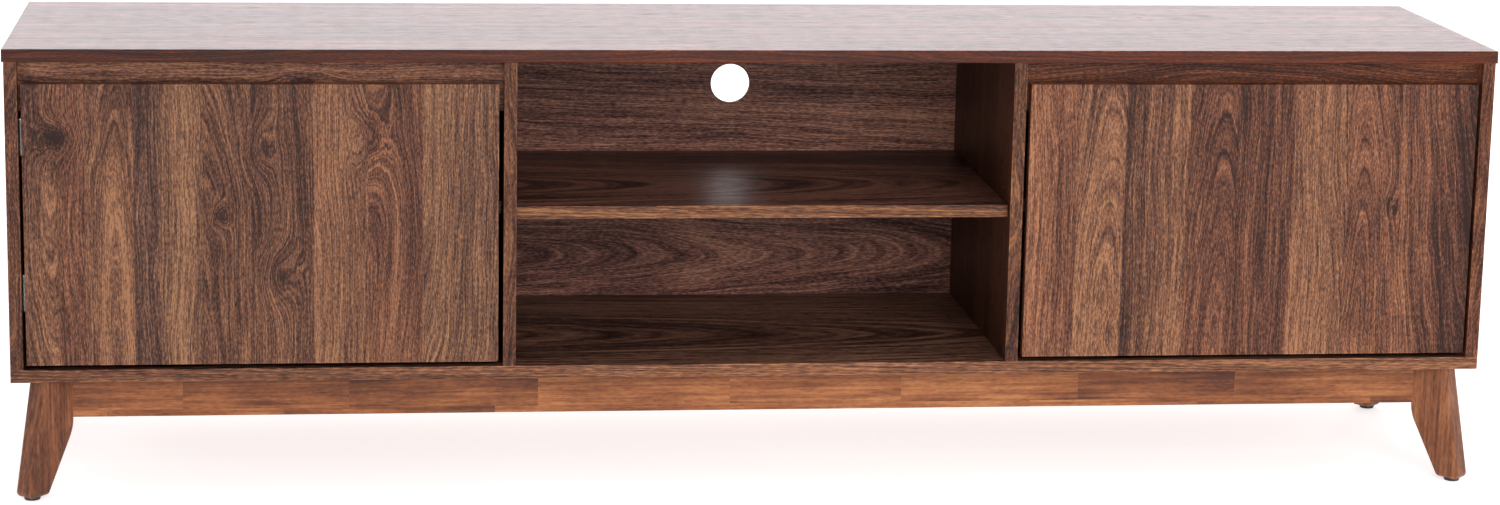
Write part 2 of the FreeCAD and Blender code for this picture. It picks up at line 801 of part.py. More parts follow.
def corner_block():
    """Wooden block that ties two aprons and a leg together."""
    inner = apron_setback + apron_thickness
    skew = leg_thickness / 2 * root_two
    near_leg = leg_inner / root_two
    half = leg_thickness / 2 / root_two
    outline = [(near_leg + half, near_leg - half), (inner + skew, inner), (block_reach, inner),
               (inner, block_reach), (inner, inner + skew), (near_leg - half, near_leg + half)]
    low = floor_level - (apron_height + block_height) / 2
    points = [corner_point(x, y, low) for x, y in outline]
    return drilled(prism(points, Z_AXIS * block_height))


def leg_bolts():
    """Hanger bolts with washer and nut, through the block into the leg."""
    outward = (diagonal_point(0, 0, 0) - diagonal_point(1, 0, 0)).normalize()
    seat = (apron_setback + apron_thickness + block_reach) / root_two
    solids = []
    for spread in (-leg_bolt_spread, leg_bolt_spread):
        z = floor_level - apron_height / 2 + spread
        tail = diagonal_point(seat + leg_bolt_tail, 0, z)
        length = seat + leg_bolt_tail - leg_inner + leg_bolt_bite
        shaft = rod(leg_bolt_radius, tail, outward, length)
        nut_top = seat + washer_thickness + nut_thickness
        washer_top = diagonal_point(seat + washer_thickness, 0, z)
        washer = rod(washer_radius, washer_top, outward, washer_thickness)
        nut = turned_nut(diagonal_point(nut_top, 0, z), outward)
        solids.append(fused([shaft, washer, nut]))
        bores.append(rod(leg_bolt_radius + bore_fit, tail, outward, length + bore_end))
    return solids


def turned_nut(start, direction):
    corners = [Vector(nut_radius * math.cos(i * math.pi / 3), nut_radius * math.sin(i * math.pi / 3), 0)
               for i in range(6)]
    nut = prism(corners, Z_AXIS * nut_thickness)
    nut.Placement = FreeCAD.Placement(start, FreeCAD.Rotation(Z_AXIS, direction))
    return nut


def front_apron():
    skew = leg_thickness / 2 * root_two
    outer = apron_setback + skew
    inner = outer + apron_thickness
    near_face = base_front + apron_setback
    far_face = near_face + apron_thickness
    points = [Vector(-base_half + outer, near_face, apron_bottom),
              Vector(base_half - outer, near_face, apron_bottom),
              Vector(base_half - inner, far_face, apron_bottom),
              Vector(-base_half + inner, far_face, apron_bottom)]
    return drilled(prism(points, Z_AXIS * apron_height))


def side_apron():
    skew = leg_thickness / 2 * root_two
    outer = apron_setback + skew
    inner = outer + apron_thickness
    near_face = -base_half + apron_setback
    far_face = near_face + apron_thickness
    points = [Vector(near_face, base_front + outer, apron_bottom),
              Vector(near_face, base_rear - outer, apron_bottom),
              Vector(far_face, base_rear - inner, apron_bottom),
              Vector(far_face, base_front + inner, apron_bottom)]
    return prism(points, Z_AXIS * apron_height)


def cross_rail():
    """Rail under the left divider, from the front apron to the rear one."""
    middle = -divider_outer + board / 2
    x_range = (middle - apron_thickness / 2, middle + apron_thickness / 2)
    inset = apron_setback + apron_thickness
    y_range = (base_front + inset, base_rear - inset)
    return box(x_range, y_range, (apron_bottom, floor_level))


def to_rear(shape):
    """Mirror a piece of the base frame from the front to the rear."""
    middle = Vector(0, (base_front + base_rear) / 2, 0)
    return shape.mirror(middle, Y_AXIS)


def four_corners(shapes):
    halves = shapes + [to_rear(shape) for shape in shapes]
    return both_sides(halves)


def base_brackets():
    solids = []
    inner_face = base_front + apron_setback + apron_thickness
    for x in bracket_stations:
        x_range = (x - bracket_width / 2, x + bracket_width / 2)
        flat = box(x_range, (inner_face, inner_face + bracket_leg),
                   (floor_level - bracket_thickness, floor_level))
        upright = box(x_range, (inner_face, inner_face + bracket_thickness),
                      (floor_level - bracket_leg, floor_level))
        angle = fused([flat, upright])
        solids += [drilled(angle), drilled(to_rear(angle))]
    return solids


def base_bracket_screws():
    pairs = []
    inner_face = base_front + apron_setback + apron_thickness
    for x in bracket_stations:
        up = Vector(x, inner_face + bracket_screw_reach, floor_level - bracket_thickness)
        along = Vector(x, inner_face + bracket_thickness, floor_level - bracket_screw_reach)
        for start, direction in ((up, Z_AXIS), (along, -Y_AXIS)):
            solid, bore = dome_screw(start, direction, *bracket_screw)
            pairs += [(solid, bore), (to_rear(solid), to_rear(bore))]
    return register(pairs)


# ---- build -------------------------------------------------------------------
def mirrored_bores(make):
    """Run a left-hand fastener function and drill its right-hand twins too."""
    first = len(bores)
    left = make()
    bores.extend([mirrored(bore) for bore in bores[first:]])
    return left


def save_pair(name, make):
    """Save a left-hand piece and its mirror image as two nodes."""
    left = make() if callable(make) else make
    left = left if isinstance(left, list) else [left]
    save("left_" + name, left)
    save("right_" + name, [mirrored(shape) for shape in left])


def save_fasteners():
    save("cam_bolts", cam_bolts())
    save("cam_locks", cam_locks())
    save("carcass_dowels", carcass_dowels())
    save("rail_dowels", rail_dowels())
    save("carcass_screws", carcass_screws())
    save("shelf_pins", shelf_pins())
    save("hinge_plate_screws", both_sides(mirrored_bores(plate_screws)))
    save("hinge_arm_screws", both_sides(mirrored_bores(arm_screws)))
    save("catch_screws", both_sides(mirrored_bores(catch_screws)))
    save("base_bracket_screws", base_bracket_screws())
    save_pair("hinge_cup_screws", mirrored_bores(cup_screws))
    save_pair("strike_screws", mirrored_bores(strike_screws))


def save_leg_fixings():
    bolts = leg_bolts()
    first = len(bores) - len(bolts)
    bores.extend(four_corners(bores[first:])[len(bolts):])
    save("leg_bolts", four_corners(bolts))


def save_boards():
    save("top_panel", top_panel())
    save("bottom_panel", bottom_panel())
    save_pair("side_panel", side_panel)
    save_pair("divider", divider)
    save_pair("top_rail", top_rail)
    left_bay, centre, right_bay = bays()
    save("left_back_panel", back_panel(left_bay))
    save("centre_back_panel", centre_back_panel())
    save("right_back_panel", back_panel(right_bay))
    save("left_shelf", shelf(left_bay, side_shelf_setback))
    save("centre_shelf", shelf(centre, centre_shelf_setback))
    save("right_shelf", shelf(right_bay, side_shelf_setback))


def save_doors():
    pins = [hinge_pin(z) for z in hinge_levels]
    save_pair("door_panel", door_panel)
    cups = [hinge_cup(z).cut([bore for _, bore in pins]) for z in hinge_levels]
    save_pair("hinge_cups", cups)
    save_pair("hinge_pins", [solid for solid, _ in pins])
    save_pair("strike_plate", strike_plate)
    save_pair("hinge_arms", [hinge_arm(z) for z in hinge_levels])
    save_pair("hinge_plates", [hinge_plate(z) for z in hinge_levels])
    save("magnetic_catches", both_sides([magnetic_catch()]))
    save("door_bumpers", both_sides(door_bumpers()))


def save_base():
    save("front_apron", front_apron())
    save("rear_apron", to_rear(front_apron()))
    save_pair("side_apron", side_apron)
    save("cross_rails", both_sides([cross_rail()]))
    left_front = drilled(leg())
    save("front_left_leg", left_front)
    save("front_right_leg", mirrored(left_front))
    save("rear_left_leg", to_rear(left_front))
    save("rear_right_leg", mirrored(to_rear(left_front)))
    save("leg_glides", four_corners([glide()]))
    save("corner_blocks", four_corners([corner_block()]))
    save("base_brackets", base_brackets())


os.makedirs("parts", exist_ok=True)
save_fasteners()
save_leg_fixings()
save_boards()
save_doors()
save_base()
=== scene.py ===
import math

import bmesh
import bpy
from mathutils import Matrix, Vector


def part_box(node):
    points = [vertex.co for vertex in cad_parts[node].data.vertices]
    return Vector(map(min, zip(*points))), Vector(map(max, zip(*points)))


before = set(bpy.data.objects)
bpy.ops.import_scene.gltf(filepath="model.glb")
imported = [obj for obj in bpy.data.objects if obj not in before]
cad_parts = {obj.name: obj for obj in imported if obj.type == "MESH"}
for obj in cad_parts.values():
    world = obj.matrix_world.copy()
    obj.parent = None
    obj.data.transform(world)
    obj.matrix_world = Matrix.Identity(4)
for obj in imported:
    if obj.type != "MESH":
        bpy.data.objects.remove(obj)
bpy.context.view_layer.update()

MM = 0.001
FLOAT, VECTOR, COLOUR = "NodeSocketFloat", "NodeSocketVector", "NodeSocketColor"


# ---- node graphs --------------------------------------------------------------
class Graph:
    """Adds nodes to a tree and links them by socket or plain value."""

    def __init__(self, tree):
        self.tree = tree

    def node(self, kind, **settings):
        made = self.tree.nodes.new(kind)
        for name, value in settings.items():
            setattr(made, name, value)
        return made

    def feed(self, socket, value):
        if isinstance(value, bpy.types.NodeSocket):
            self.tree.links.new(value, socket)
        else:
            socket.default_value = value

    def math(self, operation, first, second=0.0, third=0.0):
        made = self.node("ShaderNodeMath", operation=operation)
        for socket, value in zip(made.inputs, (first, second, third)):
            self.feed(socket, value)
        return made.outputs[0]

    def vary(self, noise, amount, base):
        """base plus a noise, centred on nothing, times amount."""
        centred = self.math("SUBTRACT", noise, 0.5)
        return self.math("MULTIPLY_ADD", centred, amount, base)

    def vector(self, operation, first, second=(0.0, 0.0, 0.0)):
        made = self.node("ShaderNodeVectorMath", operation=operation)
        self.feed(made.inputs[0], first)
        self.feed(made.inputs[1], second)
        return made.outputs[0]

    def split(self, vector):
        made = self.node("ShaderNodeSeparateXYZ")
        self.feed(made.inputs[0], vector)
        return made.outputs

    def join(self, x=0.0, y=0.0, z=0.0):
        made = self.node("ShaderNodeCombineXYZ")
        for socket, value in zip(made.inputs, (x, y, z)):
            self.feed(socket, value)
        return made.outputs[0]

    def noise(self, vector, detail=2.0, roughness=0.5, dimensions="3D"):
        made = self.node("ShaderNodeTexNoise", noise_dimensions=dimensions)
        self.feed(made.inputs["Vector"], vector)
        self.feed(made.inputs["Scale"], 1.0)
        self.feed(made.inputs["Detail"], detail)
        self.feed(made.inputs["Roughness"], roughness)
        return made.outputs["Fac"]

    def scaled_noise(self, vector, scale, detail=2.0, roughness=0.5):
        return self.noise(self.vector("MULTIPLY", vector, scale), detail, roughness)

    def ramp(self, factor, stops, interpolation="LINEAR"):
        made = self.node("ShaderNodeValToRGB")
        made.color_ramp.interpolation = interpolation
        elements = made.color_ramp.elements
        while len(elements) < len(stops):
            elements.new(1.0)
        for element, (place, colour) in zip(elements, stops):
            element.position = place
            element.color = (*colour, 1.0)
        self.feed(made.inputs[0], factor)
        return made.outputs["Color"]

    def fade(self, value, low, high, start=0.0, end=1.0, kind="SMOOTHSTEP"):
        """Value carried from the range low..high to start..end."""
        made = self.node("ShaderNodeMapRange", interpolation_type=kind)
        for name, number in (("Value", value), ("From Min", low), ("From Max", high),
                             ("To Min", start), ("To Max", end)):
            self.feed(made.inputs[name], number)
        return made.outputs["Result"]

    def mix(self, factor, first, second, blend="MIX"):
        made = self.node("ShaderNodeMix", data_type="RGBA", blend_type=blend)
        self.feed(made.inputs[0], factor)
        self.feed(made.inputs[6], first)
        self.feed(made.inputs[7], second)
        return made.outputs[2]

    def tinted(self, colour, tint):
        return self.mix(1.0, colour, (*tint, 1.0), "MULTIPLY")

    def bump(self, height, distance, strength):
        made = self.node("ShaderNodeBump")
        made.inputs["Strength"].default_value = strength
        made.inputs["Distance"].default_value = distance
        self.feed(made.inputs["Height"], height)
        return made.outputs[0]

    def place(self, group, **values):
        made = self.node("ShaderNodeGroup")
        made.node_tree = group
        for name, value in values.items():
            self.feed(made.inputs[name], value)
        return made.outputs


def start_group(name, inputs, outputs):
    """New shader node group with named sockets; returns its graph, inputs and outputs."""
    tree = bpy.data.node_groups.new(name, "ShaderNodeTree")
    for socket_name, kind, default in inputs:
        socket = tree.interface.new_socket(socket_name, in_out="INPUT", socket_type=kind)
        socket.default_value = default
    for socket_name, kind in outputs:
        tree.interface.new_socket(socket_name, in_out="OUTPUT", socket_type=kind)
    graph = Graph(tree)
    return graph, graph.node("NodeGroupInput").outputs, graph.node("NodeGroupOutput").inputs


def new_material(name, specular):
    """Empty Principled material; returns it, its graph, its shader sockets and its place."""
    material = bpy.data.materials.new(name)
    material.use_nodes = True
    material.node_tree.nodes.clear()
    graph = Graph(material.node_tree)
    shader = graph.node("ShaderNodeBsdfPrincipled")
    shader.inputs["Specular IOR Level"].default_value = specular
    end = graph.node("ShaderNodeOutputMaterial")
    graph.tree.links.new(shader.outputs[0], end.inputs["Surface"])
    place = graph.node("ShaderNodeTexCoord").outputs["Object"]
    return material, graph, shader.inputs, place


def assign(node, material):
    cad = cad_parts[node]
    if not cad.data.materials:
        cad.data.materials.append(material)
    for number in range(len(cad.data.materials)):
        cad.data.materials[number] = material


def grained(graph, place, axes):
    """Vector of (across, along, depth) for a board, from its axis letters in that order."""
    parts = dict(zip("xyz", graph.split(place)))
    return graph.join(*[parts[letter] for letter in axes])


# ---- walnut -------------------------------------------------------------------
WALNUT = [(0.10, (0.026, 0.0092, 0.0062)), (0.32, (0.086, 0.0315, 0.0195)),
          (0.50, (0.162, 0.0635, 0.0365)), (0.68, (0.262, 0.1080, 0.0570)),
          (0.90, (0.440, 0.1950, 0.0920))]
PORE_COLOUR = (0.022, 0.009, 0.007)
RING_SLOPE = 0.10           # how fast a board climbs away from the middle of its tree
RING_SWAY = 0.012           # how far the rings wander sideways
ARRIS_WIDTH = 1.5 * MM
ARRIS_STRENGTH = 0.7        # how far an arris goes towards its paler colour
FACE_SKIN = 0.3 * MM        # depth over which the tint of one face ends
WALNUT_SPECULAR = 0.2


def arris_group():
    """Mask of the pale band along the edges of a box-shaped board: partly wear, partly a painted
    highlight where the edge catches the light.
    """
    graph, inside, out = start_group(
        "board_arris",
        [("Vector", VECTOR, (0, 0, 0)), ("Low", VECTOR, (0, 0, 0)),
         ("High", VECTOR, (1, 1, 1)), ("Width", FLOAT, ARRIS_WIDTH)],
        [("Mask", FLOAT)])
    low = graph.vector("SUBTRACT", inside["Vector"], inside["Low"])
    high = graph.vector("SUBTRACT", inside["High"], inside["Vector"])
    x, y, z = graph.split(graph.vector("ABSOLUTE", graph.vector("MINIMUM", low, high)))
    near_pair = graph.math("MINIMUM", x, y)
    far_pair = graph.math("MAXIMUM", x, y)
    edge = graph.math("MAXIMUM", near_pair, graph.math("MINIMUM", far_pair, z))
    ragged = graph.scaled_noise(inside["Vector"], (90, 90, 90), 3.0)
    width = graph.math("MULTIPLY", inside["Width"], graph.fade(ragged, 0.2, 0.8, 0.5, 1.5))
    closeness = graph.math("DIVIDE", edge, width)
    graph.feed(out["Mask"], graph.fade(closeness, 0.35, 1.0, 1.0, 0.0))
    return graph.tree


def figure_group():
    """Growth rings, streaks and pores of walnut whose grain runs along the vector's Y."""
    graph, inside, out = start_group(
        "walnut_figure",
        [("Vector", VECTOR, (0, 0, 0)), ("Pith", VECTOR, (0.3, 0, 0.03)), ("Seed", FLOAT, 0.0),
         ("Push", FLOAT, 0.0)],
        [("Tone", FLOAT), ("Pores", FLOAT), ("Height", FLOAT)])
    shift = graph.join(graph.math("MULTIPLY", inside["Seed"], 3.71),
                       graph.math("MULTIPLY", inside["Seed"], 1.37),
                       graph.math("MULTIPLY", inside["Seed"], 5.13))
    place = graph.vector("ADD", inside["Vector"], shift)
    slow = graph.scaled_noise(place, (8.0, 3.0, 8.0), 1.0)
    quick = graph.scaled_noise(place, (34.0, 9.0, 34.0), 2.0)
    _, free_along, _ = graph.split(place)
    across, along, depth = graph.split(graph.vector("SUBTRACT", inside["Vector"], inside["Pith"]))
    across = graph.vary(slow, 4.0 * RING_SWAY, across)
    across = graph.vary(quick, RING_SWAY, across)
    rise = graph.math("MULTIPLY_ADD", along, RING_SLOPE, depth)
    square = graph.math("MULTIPLY_ADD", across, across, graph.math("MULTIPLY", rise, rise))
    ring = graph.math("MULTIPLY_ADD", depth, 0.5, graph.math("SQRT", square))
    ring = graph.math("ADD", ring, inside["Push"])

    def ring_noise(rate, drift, detail, roughness):
        """Noise along the rings: rate is how often it changes across them, drift along."""
        spot = graph.join(graph.math("MULTIPLY_ADD", ring, rate, inside["Seed"]),
                          graph.math("MULTIPLY", free_along, drift))
        return graph.noise(spot, detail, roughness, "2D")

    bands = ring_noise(120.0, 1.6, 3.0, 0.6)
    streaks = ring_noise(620.0, 11.0, 3.0, 0.6)
    broad = ring_noise(30.0, 1.0, 1.0, 0.5)
    dashes = graph.scaled_noise(place, (640.0, 52.0, 640.0), 1.0)
    ripple = graph.scaled_noise(place, (700.0, 190.0, 700.0), 3.0, 0.65)
    tone = 0.5
    for noise, amount in ((bands, 0.66), (broad, 0.40), (streaks, 1.15), (slow, 0.36),
                          (ripple, 1.45)):
        tone = graph.vary(noise, amount, tone)
    pores = graph.fade(dashes, 0.56, 0.70)
    graph.feed(out["Tone"], tone)
    graph.feed(out["Pores"], pores)
    sunk = graph.math("MULTIPLY", pores, -1.0)
    graph.feed(out["Height"], graph.math("MULTIPLY_ADD", streaks, 0.5, sunk))
    return graph.tree


def knot_group():
    """Pushes the rings aside round a knot; also gives the knot's dark heart."""
    graph, inside, out = start_group(
        "walnut_knot",
        [("Vector", VECTOR, (0, 0, 0)), ("Centre", VECTOR, (0, 0, 0)),
         ("Size", FLOAT, 0.02), ("Push", FLOAT, 0.02), ("Squat", FLOAT, 0.3)],
        [("Push", FLOAT), ("Heart", FLOAT)])
    offset = graph.vector("SUBTRACT", inside["Vector"], inside["Centre"])
    across, along, _ = graph.split(offset)
    wander = graph.scaled_noise(inside["Vector"], (60, 26, 60), 3.0)
    across = graph.vary(wander, 0.022, across)
    long_way = graph.math("MULTIPLY", along, inside["Squat"])
    square = graph.math("MULTIPLY_ADD", across, across,
                        graph.math("MULTIPLY", long_way, long_way))
    share = graph.math("DIVIDE", graph.math("SQRT", square), inside["Size"])
    fall = graph.math("POWER", 0.6, graph.math("MULTIPLY", share, share))
    graph.feed(out["Push"], graph.math("MULTIPLY", fall, inside["Push"]))
    graph.feed(out["Heart"], graph.fade(share, 0.1, 1.3, 1.0, 0.0))
    return graph.tree


ARRIS = arris_group()
FIGURE = figure_group()
KNOT = knot_group()


def knotted(graph, vector, knots, corner):
    """Summed push and darkness of a board's knots, placed from its low corner.

    Each knot is across, along, size, push, squatness (1 is round) and darkness.
    """
    push, dark = 0.0, 0.0
    for across, along, size, strength, squat, darkness in knots:
        centre = corner + Vector((across, along, 0.0))
        knot = graph.place(KNOT, Vector=vector, Centre=centre, Size=size, Push=strength,
                           Squat=squat)
        push = graph.math("ADD", push, knot["Push"])
        dark = graph.math("MULTIPLY_ADD", knot["Heart"], darkness, dark)
    return push, dark


def face_mask(graph, place, box, face):
    """Mask of a board's front or upper face."""
    _, y, z = graph.split(place)
    if face == "front":
        return graph.fade(y, box[0].y + FACE_SKIN, box[0].y + 2 * FACE_SKIN, 1.0, 0.0)
    return graph.fade(z, box[1].z - 2 * FACE_SKIN, box[1].z - FACE_SKIN)


def finish_walnut(graph, shader, place, box, tone, figure, shade, look, face=None, cast=None):
    """Colour, pores, pale arris (wear and a painted highlight), roughness and bump.

    shade tints the whole board, face the one face that it names, and cast is a colour
    that changes over the board.
    """
    colour = graph.tinted(graph.ramp(tone, WALNUT), shade)
    if cast:
        colour = graph.mix(1.0, colour, cast, "MULTIPLY")
    if face:
        on_face = face_mask(graph, place, box, face[0])
        colour = graph.mix(on_face, colour, graph.tinted(colour, face[1]))
    pores = graph.math("MULTIPLY", figure["Pores"], look["pores"])
    colour = graph.mix(pores, colour, (*[part * shade[0] for part in PORE_COLOUR], 1.0))
    # Paler edges: partly wear, partly a painted highlight along the edge.
    arris = graph.place(ARRIS, Vector=place, Low=box[0], High=box[1], Width=ARRIS_WIDTH)
    wear_and_highlight = graph.math("MULTIPLY", arris["Mask"], ARRIS_STRENGTH)
    paler = graph.tinted(colour, [look["arris"]] * 3)
    graph.feed(shader["Base Color"], graph.mix(wear_and_highlight, colour, paler))
    rough = look["rough"]
    graph.feed(shader["Roughness"],
               graph.fade(figure["Height"], -0.8, 0.6, rough + 0.1, rough - 0.05))
    graph.feed(shader["Normal"], graph.bump(figure["Height"], 0.12 * MM, 0.5))


# figure: contrast of the figure on the face with a tint of its own; arris: how much paler
# the edges are.
BOARD_LOOK = {"figure": 1.0, "pores": 0.45, "arris": 1.35, "rough": 0.42}
SHELF_LOOK = {"figure": 2.0, "pores": 0.45, "arris": 1.35, "rough": 0.42}
TOP_LOOK = {"figure": 3.2, "pores": 0.35, "arris": 1.2, "rough": 0.34}
DOOR_LOOK = {"pores": 0.45, "arris": 1.5, "rough": 0.45}


def walnut_board(node, axes, seed, pith, shade, knots=(), specular=WALNUT_SPECULAR,
                 look=BOARD_LOOK, face=None, stretch=(1, 1, 1)):
    """Walnut laminate; pith is measured from the board's low corner, (across, along, depth).

    face names the face with a tint of its own, and the tint, which on several boards is painted
    light or shade on that face; stretch above 1 makes the figure finer in that direction, and below
    1 longer.
    """
    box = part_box(node)
    material, graph, shader, place = new_material("walnut_" + node, specular)
    vector = graph.vector("MULTIPLY", grained(graph, place, axes), stretch)
    corner = Vector([box[0]["xyz".index(letter)] * part for letter, part in zip(axes, stretch)])
    push, dark = knotted(graph, vector, knots, corner)
    figure = graph.place(FIGURE, Vector=vector, Pith=corner + Vector(pith), Seed=seed, Push=push)
    strength = 1.0
    if face:
        on_face = face_mask(graph, place, box, face[0])
        strength = graph.fade(on_face, 0.0, 1.0, 1.0, look["figure"])
    tone = graph.math("SUBTRACT", graph.vary(figure["Tone"], strength, 0.5), dark)
    finish_walnut(graph, shader, place, box, tone, figure, shade, look, face)
    assign(node, material)


# Casts of the colour of a stave.
PLAIN = (1.0, 1.0, 1.0)
GREY = (0.98, 1.06, 1.18)
OLIVE = (1.0, 1.06, 1.06)
RED = (1.03, 0.95, 0.94)

# Staves of a door from its left edge. Each is its width in shares of the door's width, its
# tones from left to right, how far its pith is from its middle in the same shares, the
# pith's height in shares of the door's height, and its cast.
LEFT_STAVES = [
    (0.068, (0.46, 0.38), 0.03, 0.80, PLAIN),
    (0.060, (0.24, 0.32), 0.50, 0.20, RED),
    (0.102, (0.54, 0.64, 0.62), 0.01, 0.05, PLAIN),
    (0.054, (0.26, 0.30), -0.40, 0.50, GREY),
    (0.088, (0.52, 0.56, 0.42), 0.45, 0.10, OLIVE),
    (0.104, (0.43, 0.47, 0.52), -0.08, -0.60, PLAIN),
    (0.132, (0.30, 0.32, 0.34), -0.40, 0.40, PLAIN),
    (0.112, (0.78, 0.56, 0.44), 0.60, 0.30, PLAIN),
    (0.118, (0.53, 0.44, 0.24), -0.06, 0.00, RED),
    (0.162, (0.60, 0.60, 0.48, 0.48), -0.13, 1.70, OLIVE),
]
RIGHT_STAVES = [
    (0.106, (0.74, 0.72, 0.46), 0.50, 0.20, RED),
    (0.108, (0.50, 0.56, 0.58), 0.02, 0.00, PLAIN),
    (0.140, (0.25, 0.36, 0.66), -0.40, 0.60, PLAIN),
    (0.106, (0.41, 0.44), 0.02, -0.15, RED),
    (0.130, (0.28, 0.26), 0.40, 0.10, RED),
    (0.122, (0.72, 0.64, 0.70), 0.12, 1.40, PLAIN),
    (0.118, (0.46, 0.40, 0.36), -0.01, 0.10, RED),
    (0.170, (0.55, 0.46, 0.27, 0.06), 0.08, 1.20, RED),
]
STAVE_JOINT = 0.0012        # half the width of a glue line, in shares of the door
MIDDLE_TONE = 0.47          # tone of a stave that leaves the figure as it is
TONE_WEIGHT = 0.70
PAINTED_FOOT_LIGHT = 0.05               # painted light from below: how much paler a door is at its foot than at its middle
SEED_SPREAD = 9.0           # how far apart the seeds of a door's staves are


def stave_ramps(staves):
    """Stops across a door for its tones, for the staves' seeds and piths, and for their casts.

    A colour ramp can't hold a negative number, so the pith's place and height are raised by 1.
    """
    tones, marks, casts = [], [], []
    start = 0.0
    for number, (width, levels, pith, height, cast) in enumerate(staves):
        last = len(levels) - 1
        for index, level in enumerate(levels):
            inward = STAVE_JOINT * ((index == 0) - (index == last))
            tones.append((start + width * index / last + inward, (level,) * 3))
        seed = (number * 0.37 + 0.13) % 1.0
        marks.append((start, (seed, start + width / 2 + pith + 1.0, height + 1.0)))
        casts.append((start, cast))
        start += width
    return tones, marks, casts


def door_walnut(node, staves, knots, seed, shade):
    """Upright walnut staves with tight glue lines, each with its own figure."""
    low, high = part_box(node)
    size = high - low
    material, graph, shader, place = new_material("walnut_" + node, WALNUT_SPECULAR)
    vector = grained(graph, place, "xzy")
    across, along, _ = graph.split(vector)
    share = graph.fade(across, low.x, high.x, kind="LINEAR")
    # Painted light from below: the door is paler towards its foot.
    painted_foot_light = graph.fade(along, low.z, high.z, PAINTED_FOOT_LIGHT, -PAINTED_FOOT_LIGHT, kind="LINEAR")
    tones, marks, casts = stave_ramps(staves)
    level = graph.ramp(share, tones)
    stave, pith, height = graph.split(graph.ramp(share, marks, "CONSTANT"))
    pith_across = graph.math("MULTIPLY_ADD", pith, size.x, low.x - size.x)
    pith_height = graph.math("MULTIPLY_ADD", height, size.z, low.z - size.z)
    pith_place = graph.join(pith_across, pith_height, low.y)
    push, dark = knotted(graph, vector, knots, Vector((low.x, low.z, low.y)))
    figure = graph.place(FIGURE, Vector=vector, Pith=pith_place, Push=push,
                         Seed=graph.math("MULTIPLY_ADD", stave, SEED_SPREAD, seed))
    off_middle = graph.math("SUBTRACT", level, MIDDLE_TONE)
    tone = graph.math("MULTIPLY_ADD", off_middle, TONE_WEIGHT, figure["Tone"])
    tone = graph.math("SUBTRACT", graph.math("ADD", tone, painted_foot_light), dark)
    cast = graph.ramp(share, casts, "CONSTANT")
    finish_walnut(graph, shader, place, (low, high), tone, figure, shade, DOOR_LOOK, cast=cast)
    assign(node, material)


door_walnut("left_door_panel", LEFT_STAVES,
            [(0.042, 0.270, 0.017, 0.034, 1.20, 0.20),
             (0.040, 0.250, 0.030, 0.0, 0.70, 0.14),
             (0.225, 0.178, 0.007, 0.014, 0.6, 0.22),
             (0.290, 0.106, 0.017, 0.024, 0.7, 0.14),
             (0.270, 0.260, 0.014, 0.022, 0.6, 0.08),
             (0.398, 0.270, 0.015, 0.024, 0.5, 0.10)],
            0.0, (0.78, 0.81, 0.83))
door_walnut("right_door_panel", RIGHT_STAVES,
            [(0.104, 0.028, 0.008, 0.012, 0.45, 0.28),
             (0.448, 0.186, 0.005, 0.008, 0.30, 0.22)],
            21.0, (0.88, 0.90, 0.90))

# The upper face is tinted pale lilac as a painted reflection of the white light on its gloss.
walnut_board("top_panel", "yxz", 3.0, (0.52, 0.3, 0.02), (0.42, 0.16, 0.03), specular=0.3,
             look=TOP_LOOK, face=("upper", (1.60, 3.05, 19.0)), stretch=(1.8, 0.7, 1.8))
# The upper face is painted darker and cooler than the front edge, as shade inside the bays.
walnut_board("bottom_panel", "yxz", 4.7, (0.16, 0.9, -0.30), (0.99, 0.97, 0.88), look=SHELF_LOOK,
             face=("upper", (0.60, 0.70, 0.96)), stretch=(1.0, 0.35, 1.0))
walnut_board("left_side_panel", "yzx", 6.4, (0.60, 0.2, 0.10), (0.80, 0.76, 0.72))
walnut_board("right_side_panel", "yzx", 8.1, (0.60, 0.2, 0.10), (0.85, 0.74, 0.66))
walnut_board("left_divider", "yzx", 9.8, (0.55, 0.1, 0.06), (0.62, 0.58, 0.56),
             face=("front", (1.0, 0.98, 0.92)))
# The board is painted dark as shade on its faces inside the bays; its front edge is tinted back to
# the wood's tone.
walnut_board("right_divider", "yzx", 11.5, (0.55, 0.1, 0.06), (0.30, 0.25, 0.23),
             face=("front", (2.1, 2.35, 2.3)))
walnut_board("left_top_rail", "zxy", 13.2, (0.10, 0.2, 0.02), (0.91, 0.90, 0.96),
             knots=[(0.034, 0.330, 0.010, 0.018, 0.45, 0.30)])
walnut_board("right_top_rail", "zxy", 14.9, (-0.03, 0.0, 0.03), (0.73, 0.51, 0.37))
walnut_board("left_shelf", "yxz", 16.6, (0.50, 0.1, 0.05), (0.9, 0.9, 0.9))
# The upper face is painted darker and cooler than the front edge, as shade inside the bay.
walnut_board("centre_shelf", "yxz", 18.3, (0.14, 0.2, -0.30), (0.85, 0.82, 0.69),
             look=SHELF_LOOK, face=("upper", (0.57, 0.58, 0.93)), stretch=(1.0, 0.4, 1.0))
walnut_board("right_shelf", "yxz", 20.0, (0.50, 0.1, 0.05), (0.9, 0.9, 0.9))
walnut_board("left_back_panel", "zxy", 21.7, (-0.05, 0.1, 0.02), (1.3, 1.2, 1.2))
# The face towards the bay is painted lighter and cooler than the rest of the board, as light
# falling into the bay.
walnut_board("centre_back_panel", "zxy", 23.4, (0.06, 0.40, -0.06), (1.25, 1.17, 1.17),
             face=("front", (1.46, 1.72, 2.28)), stretch=(1.0, 0.75, 1.0))
walnut_board("right_back_panel", "zxy", 25.1, (-0.05, 0.1, 0.02), (1.3, 1.2, 1.2))


